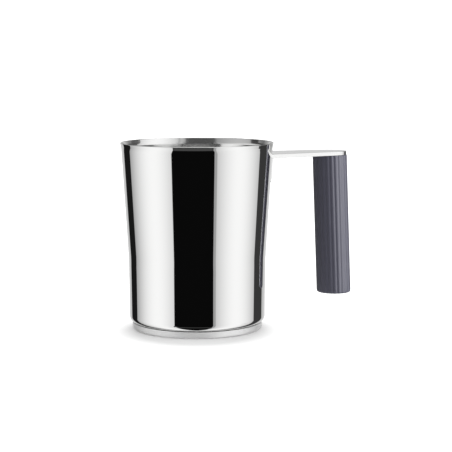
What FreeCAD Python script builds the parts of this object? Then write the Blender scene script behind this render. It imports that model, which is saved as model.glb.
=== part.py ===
import FreeCAD, Part
import math
import os
import Sketcher

# A small stainless melting pot with a flared cup, an encapsulated base and a
# ribbed grip that hangs under a flat steel plate.  The origin is the centre of
# the underside of the base, +Z is up and the handle points along +X.

os.makedirs("parts", exist_ok=True)
doc = FreeCAD.newDocument("MeltingPot")

SIZES = {
    # cup: heights above the table, and how far each part stands out
    "pot_height": 133.5,
    "rim_radius": 55.0,
    "lip_height": 3.5,
    "lip_flare": 0.9,
    "lip_blend": 10.0,
    "knee_height": 51.0,
    "knee_blend": 120.0,
    "wall_flare": 4.85,
    "foot_taper": 0.6,
    "corner_radius": 4.8,
    "wall_gauge": 1.0,
    "rim_round": 0.45,
    # encapsulated base
    "base_height": 4.4,
    "cap_inset": 2.05,
    "cap_gauge": 0.6,
    "cap_rim_rise": 0.3,
    "cap_round": 1.5,
    # handle plate with its weld tab
    "plate_drop": 9.0,
    "plate_gauge": 3.0,
    "plate_inset": 0.3,
    "plate_root_width": 38.2,
    "plate_round": 0.4,
    "tab_width": 20.0,
    "tab_drop": 22.0,
    "tab_corner": 5.0,
    "bend_radius": 2.5,
    # grip
    "finger_gap": 40.5,
    "grip_radius": 12.8,
    "grip_lean": 2.4,
    "grip_bottom": 18.1,
    "grip_foot_round": 1.6,
    "flute_count": 24.0,
    "flute_radius": 1.15,
    "flute_depth": 0.5,
    # fastening inside the grip
    "stud_radius": 2.5,
    "bore_clearance": 0.3,
    "socket_radius": 7.0,
    "socket_depth": 16.0,
    "washer_play": 1.0,
    "washer_gauge": 1.2,
    "washer_clearance": 0.15,
    "nut_across_flats": 8.0,
    "nut_height": 4.7,
    "stud_end": 1.5,
    "plug_gauge": 2.5,
    "plug_recess": 0.8,
    "plug_skirt_gauge": 1.0,
    "plug_skirt_height": 5.0,
}

sheet = doc.addObject("Spreadsheet::Sheet", "Sizes")
for row, (alias, value) in enumerate(SIZES.items(), start=1):
    sheet.set("A%d" % row, alias)
    sheet.set("B%d" % row, str(value))
    sheet.setAlias("B%d" % row, alias)
doc.recompute()

TRIM = "2 mm"   # how far a cutting shape runs past the solid that it trims


def size(alias):
    """A cell of the sheet as a length for use inside an expression."""
    return "Sizes.%s * 1 mm" % alias


def number(text):
    """The plain value of an expression, in millimetres or degrees."""
    return float(sheet.evalExpression("(%s) / (1 mm)" % text))


def new_body(label):
    body = doc.addObject("PartDesign::Body", label)
    body.Label = label
    return body


def new_sketch(body, name, role, offset=None):
    """A sketch on one of the body's own origin planes, lifted by an expression."""
    sketch = body.newObject("Sketcher::SketchObject", name)
    plane = [item for item in body.Origin.OriginFeatures if item.Role == role][0]
    sketch.AttachmentSupport = [(plane, "")]
    sketch.MapMode = "FlatFace"
    if offset:
        sketch.setExpression("AttachmentOffset.Base.z", offset)
    return sketch


def pin_coordinate(sketch, kind, element, point, text):
    """Ties one coordinate of a sketch point to an expression."""
    value = number(text)
    if abs(value) < 1e-9:
        axis = -2 if kind == "DistanceX" else -1
        sketch.addConstraint(Sketcher.Constraint("PointOnObject", element, point, axis))
        return
    if value > 0:
        index = sketch.addConstraint(Sketcher.Constraint(kind, -1, 1, element, point, value))
        sketch.setExpression("Constraints[%d]" % index, text)
    else:
        index = sketch.addConstraint(Sketcher.Constraint(kind, element, point, -1, 1, -value))
        sketch.setExpression("Constraints[%d]" % index, "-(%s)" % text)


def round_corner(before, corner, after, radius):
    """Where an arc of this radius touches the two sides of a corner, and its centre."""
    back = (before - corner).normalize()
    ahead = (after - corner).normalize()
    half = back.getAngle(ahead) / 2
    reach = radius / math.tan(half)
    middle = (back + ahead).normalize() * (radius / math.sin(half))
    return corner + back * reach, corner + ahead * reach, corner + middle


def draw_outline(sketch, corners):
    """A closed outline of straight sides.

    Each corner is two expressions, its place, and a third, its radius, if it is round.
    """
    places = [FreeCAD.Vector(number(item[0]), number(item[1]), 0) for item in corners]
    count = len(corners)
    starts = list(places)
    ends = list(places)
    arcs = {}
    for index, corner in enumerate(corners):
        if len(corner) < 3:
            continue
        radius = number(corner[2])
        following = places[(index + 1) % count]
        ends[index], starts[index], centre = round_corner(
            places[index - 1], places[index], following, radius)
        first = math.atan2(ends[index].y - centre.y, ends[index].x - centre.x)
        last = math.atan2(starts[index].y - centre.y, starts[index].x - centre.x)
        anticlockwise = (last - first) % (2 * math.pi) < math.pi
        if not anticlockwise:
            first, last = last, first
        last = first + (last - first) % (2 * math.pi)
        circle = Part.Circle(centre, FreeCAD.Vector(0, 0, 1), radius)
        arcs[index] = (Part.ArcOfCircle(circle, first, last), anticlockwise)

    sides = []
    for index in range(count):
        line = Part.LineSegment(starts[index], ends[(index + 1) % count])
        sides.append(sketch.addGeometry(line))
    for index, corner in enumerate(corners):
        before = sides[index - 1]
        after = sides[index]
        if index not in arcs:
            sketch.addConstraint(Sketcher.Constraint("Coincident", before, 2, after, 1))
            pin_coordinate(sketch, "DistanceX", after, 1, corner[0])
            pin_coordinate(sketch, "DistanceY", after, 1, corner[1])
            continue
        curve, anticlockwise = arcs[index]
        arc = sketch.addGeometry(curve)
        entry, leave = (1, 2) if anticlockwise else (2, 1)
        sketch.addConstraint(Sketcher.Constraint("Tangent", before, 2, arc, entry))
        sketch.addConstraint(Sketcher.Constraint("Tangent", arc, leave, after, 1))
        spot = sketch.addGeometry(Part.Point(places[index]), True)
        pin_coordinate(sketch, "DistanceX", spot, 1, corner[0])
        pin_coordinate(sketch, "DistanceY", spot, 1, corner[1])
        sketch.addConstraint(Sketcher.Constraint("PointOnObject", spot, 1, before))
        sketch.addConstraint(Sketcher.Constraint("PointOnObject", spot, 1, after))
        tie = sketch.addConstraint(Sketcher.Constraint("Radius", arc, number(corner[2])))
        sketch.setExpression("Constraints[%d]" % tie, corner[2])


def draw_circle(sketch, radius, centre_x="0 mm"):
    """A circle centred on the sketch's horizontal axis."""
    spot = FreeCAD.Vector(number(centre_x), 0, 0)
    index = sketch.addGeometry(Part.Circle(spot, FreeCAD.Vector(0, 0, 1), number(radius)))
    pin_coordinate(sketch, "DistanceX", index, 3, centre_x)
    pin_coordinate(sketch, "DistanceY", index, 3, "0 mm")
    tie = sketch.addConstraint(Sketcher.Constraint("Radius", index, number(radius)))
    sketch.setExpression("Constraints[%d]" % tie, radius)


def new_turn(body, kind, name, sketch, angle=None):
    """A Revolution or Groove about the sketch's vertical axis."""
    feature = body.newObject("PartDesign::" + kind, name)
    feature.Profile = sketch
    feature.ReferenceAxis = (sketch, ["V_Axis"])
    feature.Angle = 360
    if angle:
        feature.Midplane = True
        feature.setExpression("Angle", angle)
    doc.recompute()
    return feature


def new_extrusion(body, kind, name, sketch, length, midplane=False, downward=False):
    """A Pad along the sketch's normal, or a Pocket against it."""
    feature = body.newObject("PartDesign::" + kind, name)
    feature.Profile = sketch
    feature.setExpression("Length", length)
    feature.Midplane = midplane
    feature.Reversed = downward
    doc.recompute()
    return feature


def new_fillet(body, name, base, picks, radius):
    """Rounds the edges of the base feature that the pick function accepts."""
    names = []
    for index, edge in enumerate(base.Shape.Edges, start=1):
        if picks(edge):
            names.append("Edge%d" % index)
    if not names:
        raise RuntimeError("%s found no edges" % name)
    feature = body.newObject("PartDesign::Fillet", name)
    feature.Base = (base, names)
    feature.setExpression("Radius", radius)
    doc.recompute()
    return feature


def minus(first, second):
    return "(%s) - (%s)" % (first, second)


def plus(first, second):
    return "(%s) + (%s)" % (first, second)


WALL = size("wall_gauge")
RIM_ROUND = "min(%s; 0.45 * (%s))" % (size("rim_round"), WALL)
LIP_ROOT_HEIGHT = minus(size("pot_height"), size("lip_height"))
LIP_ROOT_RADIUS = minus(size("rim_radius"), size("lip_flare"))
KNEE_RADIUS = minus(LIP_ROOT_RADIUS, size("wall_flare"))
FOOT_RADIUS = minus(KNEE_RADIUS, size("foot_taper"))
CAP_RADIUS = minus(FOOT_RADIUS, size("cap_inset"))
PLATE_TOP = minus(size("pot_height"), size("plate_drop"))
PLATE_UNDERSIDE = minus(PLATE_TOP, size("plate_gauge"))


def flare_radius(height):
    """The outside radius of the flared wall, between knee and lip, at a height."""
    run = minus(LIP_ROOT_HEIGHT, size("knee_height"))
    above = minus(height, size("knee_height"))
    return "%s + %s * (%s) / (%s)" % (KNEE_RADIUS, size("wall_flare"), above, run)


GRIP_REACH = plus(flare_radius(PLATE_TOP), plus(size("finger_gap"), size("grip_radius")))
PLATE_END_RADIUS = minus(size("grip_radius"), size("plate_inset"))
PLATE_HALF_WIDTH = size("plate_root_width") + " / 2"
PLATE_ROOT = "sqrt((%s)^2 - (%s)^2) - %s" % (flare_radius(PLATE_UNDERSIDE), PLATE_HALF_WIDTH, TRIM)


def make_pot_body():
    """The drawn cup: flat floor, round corner, upright foot, flared wall and lip."""
    body = new_body("pot_body")
    floor_top = plus(size("base_height"), WALL)
    outside = [
        (FOOT_RADIUS, size("base_height"), size("corner_radius")),
        (KNEE_RADIUS, size("knee_height"), size("knee_blend")),
        (LIP_ROOT_RADIUS, LIP_ROOT_HEIGHT, size("lip_blend")),
        (size("rim_radius"), size("pot_height"), RIM_ROUND),
    ]
    inside = [
        (minus(size("rim_radius"), WALL), size("pot_height"), RIM_ROUND),
        (minus(LIP_ROOT_RADIUS, WALL), LIP_ROOT_HEIGHT, plus(size("lip_blend"), WALL)),
        (minus(KNEE_RADIUS, WALL), size("knee_height"), plus(size("knee_blend"), WALL)),
        (minus(FOOT_RADIUS, WALL), floor_top, minus(size("corner_radius"), WALL)),
    ]
    axis = [("0 mm", floor_top), ("0 mm", size("base_height"))]
    sketch = new_sketch(body, "CupProfile", "XZ_Plane")
    draw_outline(sketch, outside + inside + axis)
    new_turn(body, "Revolution", "CupTurn", sketch)
    return body


def make_base_core():
    """The aluminium disc that spreads the heat, enclosed by the base cap."""
    body = new_body("base_core")
    gauge = size("cap_gauge")
    radius = minus(CAP_RADIUS, gauge)
    corners = [
        ("0 mm", gauge),
        (radius, gauge, minus(size("cap_round"), gauge)),
        (radius, size("base_height")),
        ("0 mm", size("base_height")),
    ]
    sketch = new_sketch(body, "CoreProfile", "XZ_Plane")
    draw_outline(sketch, corners)
    new_turn(body, "Revolution", "CoreTurn", sketch)
    return body


def make_base_cap():
    """The magnetic steel cap pressed over the core; its rim leaves a fine groove."""
    body = new_body("base_cap")
    gauge = size("cap_gauge")
    inner = minus(CAP_RADIUS, gauge)
    top = plus(size("base_height"), size("cap_rim_rise"))
    corners = [
        ("0 mm", "0 mm"),
        (CAP_RADIUS, "0 mm", size("cap_round")),
        (CAP_RADIUS, top),
        (inner, top),
        (inner, gauge, minus(size("cap_round"), gauge)),
        ("0 mm", gauge),
    ]
    sketch = new_sketch(body, "CapProfile", "XZ_Plane")
    draw_outline(sketch, corners)
    new_turn(body, "Revolution", "CapTurn", sketch)
    return body


def draw_plate_plan(sketch):
    """The plate seen from above: a wide root that tapers to a round end."""
    root_x = number(PLATE_ROOT)
    half = number(PLATE_HALF_WIDTH)
    reach = number(GRIP_REACH)
    end = number(PLATE_END_RADIUS)
    # the flank that touches the round end is tilted by this angle
    distance = math.hypot(reach - root_x, half)
    tilt = math.asin(end / distance) - math.atan2(half, reach - root_x)
    touch = FreeCAD.Vector(reach - end * math.sin(tilt), end * math.cos(tilt), 0)
    mirror = FreeCAD.Vector(touch.x, -touch.y, 0)
    upper = FreeCAD.Vector(root_x, half, 0)
    lower = FreeCAD.Vector(root_x, -half, 0)
    tip = FreeCAD.Vector(reach + end, 0, 0)
    root = sketch.addGeometry(Part.LineSegment(upper, lower))
    right = sketch.addGeometry(Part.LineSegment(lower, mirror))
    curve = sketch.addGeometry(Part.Arc(mirror, tip, touch))
    left = sketch.addGeometry(Part.LineSegment(touch, upper))
    sketch.addConstraint(Sketcher.Constraint("Coincident", root, 2, right, 1))
    sketch.addConstraint(Sketcher.Constraint("Tangent", right, 2, curve, 1))
    sketch.addConstraint(Sketcher.Constraint("Tangent", curve, 2, left, 1))
    sketch.addConstraint(Sketcher.Constraint("Coincident", left, 2, root, 1))
    pin_coordinate(sketch, "DistanceX", root, 1, PLATE_ROOT)
    pin_coordinate(sketch, "DistanceY", root, 1, PLATE_HALF_WIDTH)
    pin_coordinate(sketch, "DistanceX", root, 2, PLATE_ROOT)
    pin_coordinate(sketch, "DistanceY", root, 2, "-(%s)" % PLATE_HALF_WIDTH)
    pin_coordinate(sketch, "DistanceX", curve, 3, GRIP_REACH)
    pin_coordinate(sketch, "DistanceY", curve, 3, "0 mm")
    tie = sketch.addConstraint(Sketcher.Constraint("Radius", curve, end))
    sketch.setExpression("Constraints[%d]" % tie, PLATE_END_RADIUS)


def make_handle_plate():
    """The flat steel plate, with a tab bent down and shaped to the wall it is welded to."""
    body = new_body("handle_plate")
    gauge = size("plate_gauge")
    sketch = new_sketch(body, "PlatePlan", "XY_Plane", PLATE_UNDERSIDE)
    draw_plate_plan(sketch)
    new_extrusion(body, "Pad", "PlatePad", sketch, gauge)

    tab_foot = minus(PLATE_TOP, size("tab_drop"))
    tab_head = minus(PLATE_TOP, gauge + " / 2")
    corners = [
        (minus(flare_radius(tab_foot), TRIM), tab_foot),
        (plus(flare_radius(tab_foot), gauge), tab_foot),
        (plus(flare_radius(tab_head), gauge), tab_head),
        (minus(flare_radius(tab_head), TRIM), tab_head),
    ]
    sketch = new_sketch(body, "TabProfile", "XZ_Plane")
    draw_outline(sketch, corners)
    half_tab = size("tab_width") + " / 2"
    spread = "2 * asin((%s) / (%s))" % (plus(half_tab, TRIM), flare_radius(tab_foot))
    new_turn(body, "Revolution", "TabTurn", sketch, spread)

    # the tab's sides are sheared straight along the handle, below the plate
    near = minus(flare_radius(tab_foot), "2 * (%s)" % gauge)
    far = plus(flare_radius(tab_head), "2 * (%s)" % gauge)
    beyond = plus(half_tab, "2 * %s" % TRIM)
    sketch = new_sketch(body, "TabSides", "XY_Plane", PLATE_UNDERSIDE)
    draw_outline(sketch, [(near, half_tab), (far, half_tab), (far, beyond), (near, beyond)])
    draw_outline(sketch, [
        (near, minus("0 mm", beyond)),
        (far, minus("0 mm", beyond)),
        (far, minus("0 mm", half_tab)),
        (near, minus("0 mm", half_tab)),
    ])
    new_extrusion(body, "Pocket", "TabSideCut", sketch, size("tab_drop"))

    below = minus(tab_foot, TRIM)
    above = plus(PLATE_TOP, TRIM)
    corners = [
        ("0 mm", below),
        (flare_radius(below), below),
        (flare_radius(above), above),
        ("0 mm", above),
    ]
    sketch = new_sketch(body, "WallTrim", "XZ_Plane")
    draw_outline(sketch, corners)
    plate = new_turn(body, "Groove", "WallGroove", sketch)

    slack = 0.05
    low = number(tab_foot)
    ceiling = number(PLATE_UNDERSIDE)
    top = number(PLATE_TOP)
    wall = number(flare_radius(PLATE_UNDERSIDE))

    def lies_at(edge, level):
        box = edge.BoundBox
        return abs(box.ZMin - level) < slack and abs(box.ZMax - level) < slack

    def tab_corner(edge):
        return lies_at(edge, low) and isinstance(edge.Curve, Part.Line)

    def bend(edge):
        box = edge.BoundBox
        by_wall = box.XMax < wall + number(gauge) + 1 and box.XMin > wall + 1
        return lies_at(edge, ceiling) and by_wall and box.YMax - box.YMin > wall / 8

    def outer_edge(edge):
        on_plate = lies_at(edge, top) or lies_at(edge, ceiling)
        return on_plate and edge.BoundBox.XMax > number(GRIP_REACH)

    plate = new_fillet(body, "TabCorners", plate, tab_corner, size("tab_corner"))
    plate = new_fillet(body, "TabBend", plate, bend, size("bend_radius"))
    new_fillet(body, "PlateEdges", plate, outer_edge, size("plate_round"))
    return body


def hang_under_plate(body):
    """Puts a body's origin at the grip's top, on the plate's underside, and leans it out."""
    body.setExpression("Placement.Base.x", GRIP_REACH)
    body.setExpression("Placement.Base.z", PLATE_UNDERSIDE)
    body.Placement.Rotation = FreeCAD.Rotation(FreeCAD.Vector(0, 1, 0), -1)
    body.setExpression("Placement.Rotation.Axis.x", "0")
    body.setExpression("Placement.Rotation.Axis.y", "1")
    body.setExpression("Placement.Rotation.Axis.z", "0")
    body.setExpression("Placement.Rotation.Angle", "-Sizes.grip_lean")


TILT = "tan(Sizes.grip_lean * 1 deg)"
GRIP_DROP = minus(PLATE_UNDERSIDE, size("grip_bottom"))
GRIP_LENGTH = "(%s) / cos(Sizes.grip_lean * 1 deg)" % GRIP_DROP
SOCKET_FLOOR = minus(GRIP_LENGTH, size("socket_depth"))
WASHER_FLOOR = plus(SOCKET_FLOOR, size("washer_gauge"))
NUT_FLOOR = plus(WASHER_FLOOR, size("nut_height"))
STUD_LENGTH = plus(NUT_FLOOR, size("stud_end"))


def trim_level(body, name, reach, cuts):
    """Cuts a leaning solid level, at each depth, on the side that the sign gives."""
    sketch = new_sketch(body, name + "Sketch", "XZ_Plane")
    side = plus(reach, TRIM)
    slope = "(%s) * %s" % (side, TILT)
    for depth, direction in cuts:
        level = minus("0 mm", depth)
        far = "%s %s (%s)" % (level, direction, plus(slope, TRIM))
        corners = [
            (minus("0 mm", side), plus(level, slope)),
            (side, minus(level, slope)),
            (side, far),
            (minus("0 mm", side), far),
        ]
        draw_outline(sketch, corners)
    return new_extrusion(body, "Pocket", name, sketch, "4 * (%s)" % side, midplane=True)


def make_grip_stud():
    """The threaded stud welded under the plate, which holds the grip up."""
    body = new_body("grip_stud")
    hang_under_plate(body)
    sketch = new_sketch(body, "StudCircle", "XY_Plane", TRIM)
    draw_circle(sketch, size("stud_radius"))
    new_extrusion(body, "Pad", "StudPad", sketch, plus(STUD_LENGTH, TRIM), downward=True)
    trim_level(body, "StudTrim", size("stud_radius"), [("0 mm", "+")])
    return body


def make_grip_sleeve():
    """The moulded grip: a fluted round bar with a bore and a socket for the nut."""
    body = new_body("grip_sleeve")
    hang_under_plate(body)
    radius = size("grip_radius")
    margin = plus("(%s) * %s" % (radius, TILT), TRIM)
    length = plus(GRIP_LENGTH, "2 * (%s)" % margin)
    sketch = new_sketch(body, "SleeveCircle", "XY_Plane", margin)
    draw_circle(sketch, radius)
    new_extrusion(body, "Pad", "SleevePad", sketch, length, downward=True)
    cuts = [("0 mm", "+"), (GRIP_LENGTH, "-")]
    bar = trim_level(body, "SleeveTrim", radius, cuts)

    depth = number(GRIP_LENGTH)
    reach = number(radius)

    def foot_edge(edge):
        return edge.BoundBox.ZMax < reach - depth and edge.BoundBox.XLength > reach

    new_fillet(body, "FootRound", bar, foot_edge, size("grip_foot_round"))

    sketch = new_sketch(body, "BoreCircle", "XY_Plane", margin)
    draw_circle(sketch, plus(size("stud_radius"), size("bore_clearance")))
    new_extrusion(body, "Pocket", "Bore", sketch, length)
    sketch = new_sketch(body, "SocketCircle", "XY_Plane", minus("0 mm", SOCKET_FLOOR))
    draw_circle(sketch, size("socket_radius"))
    new_extrusion(body, "Pocket", "Socket", sketch, plus(size("socket_depth"), margin))

    sketch = new_sketch(body, "FluteCircle", "XY_Plane", margin)
    centre = minus(plus(radius, size("flute_radius")), size("flute_depth"))
    draw_circle(sketch, size("flute_radius"), centre)
    flute = new_extrusion(body, "Pocket", "Flute", sketch, length)
    pattern = body.newObject("PartDesign::PolarPattern", "Flutes")
    pattern.Originals = [flute]
    pattern.Axis = (sketch, ["N_Axis"])
    pattern.Angle = 360
    pattern.setExpression("Occurrences", "Sizes.flute_count")
    body.Tip = pattern
    doc.recompute()
    return body


def make_grip_washer():
    """The flat washer on the floor of the grip's socket."""
    body = new_body("grip_washer")
    hang_under_plate(body)
    sketch = new_sketch(body, "WasherRings", "XY_Plane", minus("0 mm", WASHER_FLOOR))
    draw_circle(sketch, minus(size("socket_radius"), size("washer_play")))
    draw_circle(sketch, plus(size("stud_radius"), size("washer_clearance")))
    new_extrusion(body, "Pad", "WasherPad", sketch, size("washer_gauge"))
    return body


def make_grip_nut():
    """The hexagon nut that pulls the grip against the plate."""
    body = new_body("grip_nut")
    hang_under_plate(body)
    sketch = new_sketch(body, "NutHexagon", "XY_Plane", minus("0 mm", NUT_FLOOR))
    corner_radius = "%s / 2 / cos(30 deg)" % size("nut_across_flats")
    corners = []
    for turn in range(0, 360, 60):
        across = "(%s) * cos(%d deg)" % (corner_radius, turn)
        along = "(%s) * sin(%d deg)" % (corner_radius, turn)
        corners.append((across, along))
    draw_outline(sketch, corners)
    draw_circle(sketch, size("stud_radius"))
    new_extrusion(body, "Pad", "NutPad", sketch, size("nut_height"))
    return body


def make_grip_plug():
    """The plastic plug pressed into the socket, which hides the nut."""
    body = new_body("grip_plug")
    hang_under_plate(body)
    face = minus(GRIP_LENGTH, size("plug_recess"))
    head = minus(face, size("plug_gauge"))
    outer = size("socket_radius")
    inner = minus(outer, size("plug_skirt_gauge"))
    skirt = minus(head, size("plug_skirt_height"))
    corners = [
        ("0 mm", minus("0 mm", face)),
        (outer, minus("0 mm", face)),
        (outer, minus("0 mm", skirt)),
        (inner, minus("0 mm", skirt)),
        (inner, minus("0 mm", head)),
        ("0 mm", minus("0 mm", head)),
    ]
    sketch = new_sketch(body, "PlugProfile", "XZ_Plane")
    draw_outline(sketch, corners)
    new_turn(body, "Revolution", "PlugTurn", sketch)
    return body


bodies = [
    make_pot_body(),
    make_base_core(),
    make_base_cap(),
    make_handle_plate(),
    make_grip_stud(),
    make_grip_sleeve(),
    make_grip_washer(),
    make_grip_nut(),
    make_grip_plug(),
]
doc.recompute()

for item in doc.Objects:
    if "Invalid" in item.State or "Error" in item.State:
        raise RuntimeError("%s is %s" % (item.Name, item.State))
for body in bodies:
    shape = body.Shape
    if shape.isNull() or not shape.isValid() or len(shape.Solids) != 1:
        raise RuntimeError("%s has no single valid solid" % body.Label)
for body in bodies:
    body.Shape.exportStep("parts/%s.step" % body.Label)
    box = body.Shape.BoundBox
    print("%-14s volume %9.1f  x %6.1f..%6.1f  y %6.1f..%6.1f  z %6.1f..%6.1f" % (
        body.Label, body.Shape.Volume,
        box.XMin, box.XMax, box.YMin, box.YMax, box.ZMin, box.ZMax))
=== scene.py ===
import math

import bmesh
import bpy
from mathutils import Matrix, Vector


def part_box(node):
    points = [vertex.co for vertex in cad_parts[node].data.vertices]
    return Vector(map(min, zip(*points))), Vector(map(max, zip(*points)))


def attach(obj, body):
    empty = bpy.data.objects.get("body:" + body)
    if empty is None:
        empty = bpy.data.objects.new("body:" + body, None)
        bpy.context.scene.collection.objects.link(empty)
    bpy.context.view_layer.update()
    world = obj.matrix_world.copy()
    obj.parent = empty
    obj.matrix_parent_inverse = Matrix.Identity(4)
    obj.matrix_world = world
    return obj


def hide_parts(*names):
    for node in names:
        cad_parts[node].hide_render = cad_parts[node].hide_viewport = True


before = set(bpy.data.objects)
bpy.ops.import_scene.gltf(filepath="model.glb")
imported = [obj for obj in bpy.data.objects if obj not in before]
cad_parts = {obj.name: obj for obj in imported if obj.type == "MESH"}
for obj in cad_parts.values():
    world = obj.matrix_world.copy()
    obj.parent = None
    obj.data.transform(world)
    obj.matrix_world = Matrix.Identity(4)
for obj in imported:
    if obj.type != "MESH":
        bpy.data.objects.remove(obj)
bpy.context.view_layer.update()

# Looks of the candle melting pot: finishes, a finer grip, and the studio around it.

MM = 0.001
WHITE = (1.0, 1.0, 1.0, 1.0)

# where the camera stands: angles in degrees, the turn is about +Z from a view along +Y
VIEW_TURN = 24.0
VIEW_DROP = 6.96
VIEW_DISTANCE = 1.040
VIEW_HEIGHT = 0.2002
VIEW_ASIDE = 0.0207
LENS = 116.2
SENSOR = 36.0

# the pot's soft shadow, painted into the floor's colour: it lies a little towards the camera's
# side
SHADE_SHIFT = 22.0 * MM
SHADE_FULL = 42.0 * MM
SHADE_END = 68.0 * MM

# grip sizes that the box of its node doesn't give
GRIP_RADIUS = 12.8 * MM
PLATE_INSET = 0.3 * MM
GRIP_LEAN = 2.4
FLUTES = 24
FLUTE_POINTS = 12
FLUTE_DEPTH = 0.30 * MM
FOOT_ROUND = 1.6 * MM
TOP_ROUND = 0.35 * MM
SOCKET_RADIUS = 7.0 * MM
SOCKET_DEPTH = 16.0 * MM
BORE_RADIUS = 2.8 * MM

# The studio, by compass in degrees from the camera to its right.  A softbox is brightest
# in its middle and half as bright at its reach.  Above the rim's height the side flags
# lean towards the camera, all flags are narrower, and everything has its second level.
SOFTBOXES = {
    # name: (middle, reach, level, level above)
    "left": (-70, 45, 1.0, 0.5),
    "right": (70, 45, 1.0, 1.0),
    "behind": (180, 45, 0.75, 0.4),
}
FLAGS = {
    # name: (middle, half width, lean, level, level above)
    "front": (-5, 33, 0, 0.003, 0.08),
    "front_gap": (30, 2, 0, 0.35, 0.35),
    "left": (-134, 12, 30, 0.01, 0.05),
    "right": (127, 15, -12, 0.04, 0.10),
}
FLAG_TAPER = 0.75
CEILING = 1.1
TABLE_STRIP = 0.06    # the strip of table that shows below the front flag


# ---------------------------------------------------------------- node helpers

def new_tree(holder):
    """The empty node tree of a material or a world."""
    holder.use_nodes = True
    tree = holder.node_tree
    tree.nodes.clear()
    return tree


def put(tree, node, key, source):
    """Sets an input of a node from a socket or from a plain value."""
    if isinstance(source, bpy.types.NodeSocket):
        tree.links.new(source, node.inputs[key])
    else:
        node.inputs[key].default_value = source


def new_node(tree, kind, inputs=None, **settings):
    """A node with its settings, and its inputs from sockets or plain values."""
    node = tree.nodes.new(kind)
    for key, value in settings.items():
        setattr(node, key, value)
    for key, source in (inputs or {}).items():
        put(tree, node, key, source)
    return node


def maths(tree, operation, *sources):
    """A socket worked out from sockets or plain values."""
    inputs = dict(enumerate(sources))
    return new_node(tree, "ShaderNodeMath", inputs, operation=operation).outputs[0]


def span(tree, source, low, high, to_low=0.0, to_high=1.0):
    """A socket eased from one pair of values to another."""
    inputs = {"Value": source, "From Min": low, "From Max": high,
              "To Min": to_low, "To Max": to_high}
    node = new_node(tree, "ShaderNodeMapRange", inputs, interpolation_type="SMOOTHSTEP")
    return node.outputs["Result"]


def blend_values(tree, share, first, second):
    """The first value where the share is 0, and the second where it is 1."""
    node = new_node(tree, "ShaderNodeMix", {0: share, 2: first, 3: second}, data_type="FLOAT")
    return node.outputs[0]


def noise(tree, place, scale, detail=2.0, stretch=(1, 1, 1)):
    """Noise with features of about 1 / scale metres, finer along the stretched axes."""
    mapped = new_node(tree, "ShaderNodeMapping", {"Vector": place, "Scale": stretch})
    inputs = {"Vector": mapped.outputs[0], "Scale": scale, "Detail": detail}
    return new_node(tree, "ShaderNodeTexNoise", inputs).outputs["Fac"]


def rings(tree, distance, scale):
    """Fine irregular lines, one beside the other along a distance."""
    inputs = {"W": distance, "Scale": scale, "Detail": 3.0}
    return new_node(tree, "ShaderNodeTexNoise", inputs, noise_dimensions="1D").outputs["Fac"]


def bump(tree, height, strength, distance):
    """A normal that follows fine relief."""
    inputs = {"Height": height, "Strength": strength, "Distance": distance}
    return new_node(tree, "ShaderNodeBump", inputs).outputs[0]


def finish(material, tree, inputs):
    """Closes a material with a Principled shader."""
    shade = new_node(tree, "ShaderNodeBsdfPrincipled", inputs)
    new_node(tree, "ShaderNodeOutputMaterial", {"Surface": shade.outputs[0]})
    return material


def round_the_axis(tree):
    """The place on the object, its distance from the pot's axis, and the way out from it."""
    place = new_node(tree, "ShaderNodeTexCoord").outputs["Object"]
    flat = new_node(tree, "ShaderNodeVectorMath", {0: place, 1: (1, 1, 0)}, operation="MULTIPLY")
    radius = new_node(tree, "ShaderNodeVectorMath", {0: flat.outputs[0]}, operation="LENGTH")
    outward = new_node(tree, "ShaderNodeVectorMath", {0: flat.outputs[0]}, operation="NORMALIZE")
    return place, radius.outputs["Value"], outward.outputs[0]


# ---------------------------------------------------------------- materials

def make_pot_steel():
    """Mirror polish outside, and a spun satin with fine rings inside the cup, with shade painted
    darker deeper down.
    """
    material = bpy.data.materials.new("pot_steel")
    tree = new_tree(material)
    place, radius, outward = round_the_axis(tree)
    normal = new_node(tree, "ShaderNodeNewGeometry").outputs["Normal"]
    facing = new_node(tree, "ShaderNodeVectorMath", {0: normal, 1: outward},
                      operation="DOT_PRODUCT").outputs["Value"]
    parts = new_node(tree, "ShaderNodeSeparateXYZ", {0: normal}).outputs
    lean_in = maths(tree, "MULTIPLY_ADD", parts[2], 0.5, maths(tree, "MULTIPLY", facing, -1.0))
    inside = span(tree, lean_in, 0.05, 0.35)
    smudge = span(tree, noise(tree, place, 45.0, 4.0), 0.45, 0.75, 0.014, 0.035)
    spun = span(tree, noise(tree, place, 60.0, 3.0), 0.3, 0.7, 0.10, 0.15)
    height = new_node(tree, "ShaderNodeSeparateXYZ", {0: place}).outputs[2]
    turned = rings(tree, maths(tree, "ADD", radius, height), 2600.0)
    waves = noise(tree, place, 16.0, 1.0)
    inner = bump(tree, turned, 0.10, 0.02 * MM)
    outer = bump(tree, waves, 0.06, 0.05 * MM)
    normals = new_node(tree, "ShaderNodeMix", {0: inside, 4: outer, 5: inner}, data_type="VECTOR")
    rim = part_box("pot_body")[1].z
    # painted shade: inside the cup the steel's colour darkens from 0.93 to 0.60 between 2.5 mm
    # and 25.5 mm below the rim
    deep_painted_shade = maths(tree, "MULTIPLY", inside, span(tree, height, rim - 2.5 * MM, rim - 25.5 * MM))
    colour = new_node(tree, "ShaderNodeMix", {0: deep_painted_shade, 6: (0.93, 0.93, 0.925, 1),
                                              7: (0.60, 0.60, 0.595, 1)}, data_type="RGBA")
    return finish(material, tree, {
        "Base Color": colour.outputs[2],
        "Metallic": 1.0,
        "Roughness": blend_values(tree, inside, smudge, spun),
        "Normal": normals.outputs[1],
    })


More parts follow.
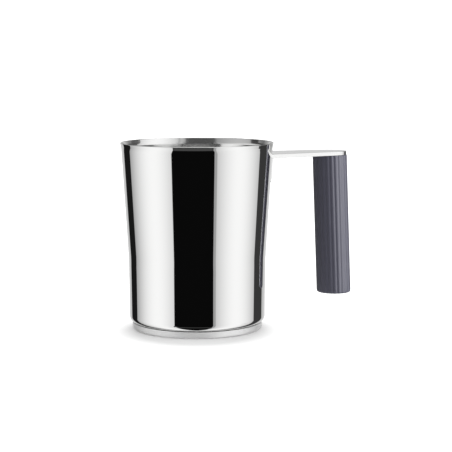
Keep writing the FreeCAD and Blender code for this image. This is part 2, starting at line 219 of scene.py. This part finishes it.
def make_base_steel():
    """Satin steel with turned rings, which take the light from all sides."""
    material = bpy.data.materials.new("base_steel")
    tree = new_tree(material)
    place, radius, _ = round_the_axis(tree)
    height = new_node(tree, "ShaderNodeSeparateXYZ", {0: place}).outputs[2]
    turned = rings(tree, maths(tree, "ADD", radius, height), 1900.0)
    stain = noise(tree, place, 30.0, 4.0)
    colour = new_node(tree, "ShaderNodeValToRGB", {0: stain})
    colour.color_ramp.elements[0].color = (0.86, 0.86, 0.855, 1)
    colour.color_ramp.elements[1].color = (0.95, 0.95, 0.95, 1)
    return finish(material, tree, {
        "Base Color": colour.outputs[0],
        "Metallic": 0.42,
        "Roughness": span(tree, turned, 0.3, 0.7, 0.36, 0.48),
        "Normal": bump(tree, turned, 0.25, 0.04 * MM),
    })


def make_plate_steel():
    """Steel brushed along the handle."""
    material = bpy.data.materials.new("plate_steel")
    tree = new_tree(material)
    place = new_node(tree, "ShaderNodeTexCoord").outputs["Object"]
    grain = noise(tree, place, 1.0, 3.0, (60, 5200, 5200))
    cloud = noise(tree, place, 70.0, 2.0)
    rough = maths(tree, "ADD", span(tree, grain, 0.3, 0.7, 0.10, 0.17),
                  maths(tree, "MULTIPLY", cloud, 0.05))
    return finish(material, tree, {
        "Base Color": (0.96, 0.96, 0.955, 1),
        "Metallic": 1.0,
        "Roughness": rough,
        "Normal": bump(tree, grain, 0.08, 0.02 * MM),
    })


def make_plain_metal(name, colour, roughness, scale):
    """Turned or cast metal for the small pieces inside the grip and the base."""
    material = bpy.data.materials.new(name)
    tree = new_tree(material)
    place = new_node(tree, "ShaderNodeTexCoord").outputs["Object"]
    grain = noise(tree, place, scale, 3.0)
    return finish(material, tree, {
        "Base Color": colour,
        "Metallic": 1.0,
        "Roughness": span(tree, grain, 0.3, 0.7, roughness - 0.06, roughness + 0.06),
        "Normal": bump(tree, grain, 0.12, 0.05 * MM),
    })


def make_plastic(name, colour, roughness):
    """Moulded slate plastic with a fine matt grain."""
    material = bpy.data.materials.new(name)
    tree = new_tree(material)
    place = new_node(tree, "ShaderNodeTexCoord").outputs["Object"]
    grain = noise(tree, place, 2600.0, 2.0)
    cloud = noise(tree, place, 90.0, 3.0)
    tint = new_node(tree, "ShaderNodeValToRGB", {0: cloud})
    darker = tuple(0.93 * part for part in colour[:3]) + (1,)
    lighter = tuple(1.07 * part for part in colour[:3]) + (1,)
    tint.color_ramp.elements[0].color = darker
    tint.color_ramp.elements[1].color = lighter
    return finish(material, tree, {
        "Base Color": tint.outputs[0],
        "Roughness": span(tree, cloud, 0.3, 0.7, roughness - 0.03, roughness + 0.03),
        "Specular IOR Level": 0.5,
        "Normal": bump(tree, grain, 0.22, 0.03 * MM),
    })


def dress(node, material):
    """Gives a node of the frame its material."""
    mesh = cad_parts[node].data
    mesh.materials.clear()
    mesh.materials.append(material)


# ---------------------------------------------------------------- the grip

def flute(turn):
    """How deep the grip's surface lies at an angle: 0 on a rib, 1 on a flute's floor."""
    wave = 0.5 + 0.5 * math.cos(FLUTES * turn)
    return wave ** 1.6


def grip_rings(height):
    """The rings of the grip's skin from its bore's top, round the outside, and back.

    Each ring is (depth below the plate, radius, share of the flutes' depth).
    """
    rows = [(0.0, BORE_RADIUS, 0.0)]
    bends = 6
    for step in range(bends + 1):
        turn = math.radians(90) * step / bends
        rows.append((TOP_ROUND * (1 - math.cos(turn)),
                     GRIP_RADIUS - TOP_ROUND * (1 - math.sin(turn)), 1.0))
    for share in (0.1, 0.3, 0.5, 0.7, 0.9):
        rows.append((height * share, GRIP_RADIUS, 1.0))
    for step in range(bends + 1):
        turn = math.radians(90) * step / bends
        rows.append((height - FOOT_ROUND * (1 - math.sin(turn)),
                     GRIP_RADIUS - FOOT_ROUND * (1 - math.cos(turn)), 1.0 - 0.4 * step / bends))
    edge = 0.4 * MM
    rows.append((height, SOCKET_RADIUS + edge, 0.0))
    rows.append((height - edge * 0.3, SOCKET_RADIUS + edge * 0.3, 0.0))
    rows.append((height - edge, SOCKET_RADIUS, 0.0))
    rows.append((height - SOCKET_DEPTH, SOCKET_RADIUS, 0.0))
    rows.append((height - SOCKET_DEPTH, BORE_RADIUS, 0.0))
    return rows


def make_grip():
    """The fluted grip, cut level at both ends along a leaning axis."""
    low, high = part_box("grip_sleeve")
    plate_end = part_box("handle_plate")[1].x
    height = high.z - low.z
    slope = math.tan(math.radians(GRIP_LEAN))
    top = Vector((plate_end + PLATE_INSET - GRIP_RADIUS, 0, high.z))
    count = FLUTES * FLUTE_POINTS
    mesh = bmesh.new()
    loops = []
    for depth, radius, share in grip_rings(height):
        loop = []
        for index in range(count):
            turn = 2 * math.pi * index / count
            reach = radius - share * FLUTE_DEPTH * flute(turn)
            loop.append(mesh.verts.new((
                top.x + slope * depth + reach * math.cos(turn),
                reach * math.sin(turn),
                top.z - depth)))
        loops.append(loop)
    for first, second in zip(loops, loops[1:] + loops[:1]):
        for index in range(count):
            after = (index + 1) % count
            mesh.faces.new((first[index], second[index], second[after], first[after]))
    bmesh.ops.recalc_face_normals(mesh, faces=mesh.faces)
    data = bpy.data.meshes.new("grip")
    mesh.to_mesh(data)
    mesh.free()
    data.shade_smooth()
    data.set_sharp_from_angle(angle=math.radians(38))
    grip = bpy.data.objects.new("grip", data)
    bpy.context.scene.collection.objects.link(grip)
    data.materials.append(make_plastic("grip_plastic", (0.055, 0.055, 0.079), 0.44))
    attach(grip, "root")
    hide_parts("grip_sleeve")
    return grip


# ---------------------------------------------------------------- studio

def compass_way(degrees):
    """The level direction at a compass bearing from the camera, to its right."""
    turn = math.radians(degrees - VIEW_TURN)
    return Vector((math.sin(turn), -math.cos(turn), 0))


def degrees_from(tree, compass, middle):
    """How far the compass bearing lies from another, either way round."""
    turn = maths(tree, "WRAP", maths(tree, "SUBTRACT", compass, middle), 180.0, -180.0)
    return maths(tree, "ABSOLUTE", turn)


def softbox_glow(tree, compass, high, middle, reach, level, above):
    """A softbox's light at a bearing, with a cosine fall-off from its middle."""
    away = degrees_from(tree, compass, middle)
    turn = maths(tree, "MINIMUM", maths(tree, "MULTIPLY", away, math.pi / 4 / reach), math.pi / 2)
    shape = maths(tree, "POWER", maths(tree, "COSINE", turn), 2.0)
    return maths(tree, "MULTIPLY", shape, blend_values(tree, high, level, above))


def behind_flag(tree, light, compass, high, middle, half_width, lean, level, above):
    """The light as it is with a flag in front of it."""
    leaning = maths(tree, "MULTIPLY_ADD", high, float(lean), float(middle))
    away = degrees_from(tree, compass, leaning)
    narrowing = half_width * (FLAG_TAPER - 1)
    outer = maths(tree, "MULTIPLY_ADD", high, narrowing, half_width + 0.5)
    inner = maths(tree, "SUBTRACT", outer, 1.0)
    hidden = span(tree, away, outer, inner)
    return blend_values(tree, hidden, light, blend_values(tree, high, level, above))


def make_world():
    """Three softboxes and their flags, standing round the table."""
    world = bpy.data.worlds.new("studio")
    bpy.context.scene.world = world
    tree = new_tree(world)
    direction = new_node(tree, "ShaderNodeTexCoord").outputs["Generated"]
    turned = new_node(tree, "ShaderNodeVectorRotate",
                      {"Vector": direction, "Angle": math.radians(VIEW_TURN)},
                      rotation_type="Z_AXIS")
    across, along, rise = new_node(tree, "ShaderNodeSeparateXYZ", {0: turned.outputs[0]}).outputs
    bearing = maths(tree, "ARCTAN2", across, maths(tree, "MULTIPLY", along, -1.0))
    compass = maths(tree, "DEGREES", bearing)
    high = span(tree, rise, 0.05, 0.20)
    light = 0.0
    for softbox in SOFTBOXES.values():
        light = maths(tree, "MAXIMUM", light, softbox_glow(tree, compass, high, *softbox))
    for flag in FLAGS.values():
        light = behind_flag(tree, light, compass, high, *flag)
    middle, half_width = FLAGS["front"][:2]
    in_front = span(tree, degrees_from(tree, compass, middle), half_width + 1, half_width - 3)
    low = maths(tree, "MULTIPLY", span(tree, rise, -0.46, -0.50), span(tree, rise, -0.62, -0.58))
    light = blend_values(tree, maths(tree, "MULTIPLY", low, in_front), light, TABLE_STRIP)
    light = blend_values(tree, span(tree, rise, 0.80, 0.95), light, CEILING)
    shade = new_node(tree, "ShaderNodeBackground", {"Color": light})
    new_node(tree, "ShaderNodeOutputWorld", {"Surface": shade.outputs[0]})


def make_floor():
    """A pale floor, with a shadow painted into its colour where the pot stands and a little in
    front of it.

    It doesn't show in the steel, which mirrors the studio.
    """
    bpy.ops.mesh.primitive_circle_add(vertices=96, radius=6.0, fill_type="NGON")
    floor = bpy.context.object
    floor.name = "floor"
    material = bpy.data.materials.new("floor_paint")
    tree = new_tree(material)
    place = new_node(tree, "ShaderNodeTexCoord").outputs["Object"]
    reach = new_node(tree, "ShaderNodeVectorMath", {0: place, 1: compass_way(0) * SHADE_SHIFT},
                     operation="DISTANCE").outputs["Value"]
    # painted shadow: the floor's colour darkens from 0.93 to 0.56 close round the pot's foot
    out_of_painted_shadow = new_node(tree, "ShaderNodeMapRange", {"Value": reach, "From Min": SHADE_FULL,
                                                 "From Max": SHADE_END}).outputs["Result"]
    colour = new_node(tree, "ShaderNodeMix", {0: out_of_painted_shadow, 6: (0.56, 0.56, 0.56, 1),
                                              7: (0.93, 0.93, 0.93, 1)}, data_type="RGBA")
    shade = new_node(tree, "ShaderNodeBsdfDiffuse", {"Color": colour.outputs[2]})
    new_node(tree, "ShaderNodeOutputMaterial", {"Surface": shade.outputs[0]})
    floor.data.materials.append(material)
    floor.visible_glossy = False
    return floor


def make_backdrop():
    """A white dome behind the floor, which only the camera sees."""
    bpy.ops.mesh.primitive_uv_sphere_add(segments=64, ring_count=32, radius=6.0)
    dome = bpy.context.object
    dome.name = "backdrop"
    material = bpy.data.materials.new("backdrop_paint")
    tree = new_tree(material)
    glow = new_node(tree, "ShaderNodeEmission", {"Color": WHITE, "Strength": 1.1})
    new_node(tree, "ShaderNodeOutputMaterial", {"Surface": glow.outputs[0]})
    dome.data.materials.append(material)
    for ray in ("diffuse", "glossy", "transmission", "volume_scatter", "shadow"):
        setattr(dome, "visible_" + ray, False)


def light_only(lamp, lit, blockers=None):
    """Limits a lamp to some objects, and its shadows to those of some others."""
    receivers = bpy.data.collections.new(lamp.name + "_lights")
    for item in lit:
        receivers.objects.link(item)
    lamp.light_linking.receiver_collection = receivers
    if blockers:
        shades = bpy.data.collections.new(lamp.name + "_shadows")
        for item in blockers:
            shades.objects.link(item)
        lamp.light_linking.blocker_collection = shades


def make_floor_light(floor):
    """A dome of light on the floor, with a soft shadow close round the pot's foot."""
    data = bpy.data.lights.new("floor_light", "SUN")
    data.angle = math.radians(170)
    data.energy = 3.6
    lamp = bpy.data.objects.new("floor_light", data)
    bpy.context.scene.collection.objects.link(lamp)
    light_only(lamp, [floor], [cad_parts["base_cap"]])


def make_base_light():
    """A weak glow from the front on the satin base."""
    data = bpy.data.lights.new("base_light", "SUN")
    data.angle = math.radians(120)
    data.energy = 0.62
    lamp = bpy.data.objects.new("base_light", data)
    bpy.context.scene.collection.objects.link(lamp)
    lamp.rotation_euler = (-compass_way(10)).to_track_quat("-Z", "Y").to_euler()
    light_only(lamp, [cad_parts["base_cap"]])


def make_grip_light(pieces):
    """The near softbox on the right, as the grip sees it."""
    data = bpy.data.lights.new("grip_light", "AREA")
    data.shape = "RECTANGLE"
    data.size = 0.8
    data.size_y = 0.9
    data.energy = 9.3
    lamp = bpy.data.objects.new("grip_light", data)
    bpy.context.scene.collection.objects.link(lamp)
    low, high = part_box("grip_sleeve")
    middle = (low + high) / 2
    lamp.location = middle + compass_way(66) * 0.6
    lamp.rotation_euler = (middle - lamp.location).to_track_quat("-Z", "Y").to_euler()
    lamp.visible_camera = False
    light_only(lamp, pieces)


def make_camera():
    """The camera, a little above the rim and to the left of the handle."""
    data = bpy.data.cameras.new("camera")
    data.lens = LENS
    data.sensor_width = SENSOR
    data.clip_end = 50
    camera = bpy.data.objects.new("camera", data)
    bpy.context.scene.collection.objects.link(camera)
    right = compass_way(90)
    camera.location = compass_way(0) * VIEW_DISTANCE + right * VIEW_ASIDE
    camera.location.z = VIEW_HEIGHT
    camera.rotation_euler = (math.radians(90 - VIEW_DROP), 0, math.radians(-VIEW_TURN))
    bpy.context.scene.camera = camera


make_camera()
dress("pot_body", make_pot_steel())
dress("base_cap", make_base_steel())
dress("handle_plate", make_plate_steel())
dress("base_core", make_plain_metal("core_metal", (0.80, 0.81, 0.82, 1), 0.42, 900.0))
dress("grip_stud", make_plain_metal("stud_metal", (0.62, 0.62, 0.60, 1), 0.30, 1500.0))
dress("grip_washer", make_plain_metal("washer_metal", (0.66, 0.66, 0.64, 1), 0.28, 1800.0))
dress("grip_nut", make_plain_metal("nut_metal", (0.64, 0.64, 0.62, 1), 0.32, 1200.0))
dress("grip_plug", make_plastic("plug_plastic", (0.075, 0.075, 0.10), 0.42))
grip = make_grip()
make_world()
floor = make_floor()
make_backdrop()
make_floor_light(floor)
make_base_light()
make_grip_light([grip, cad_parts["grip_plug"]])
bpy.context.scene.view_settings.view_transform = "Standard"
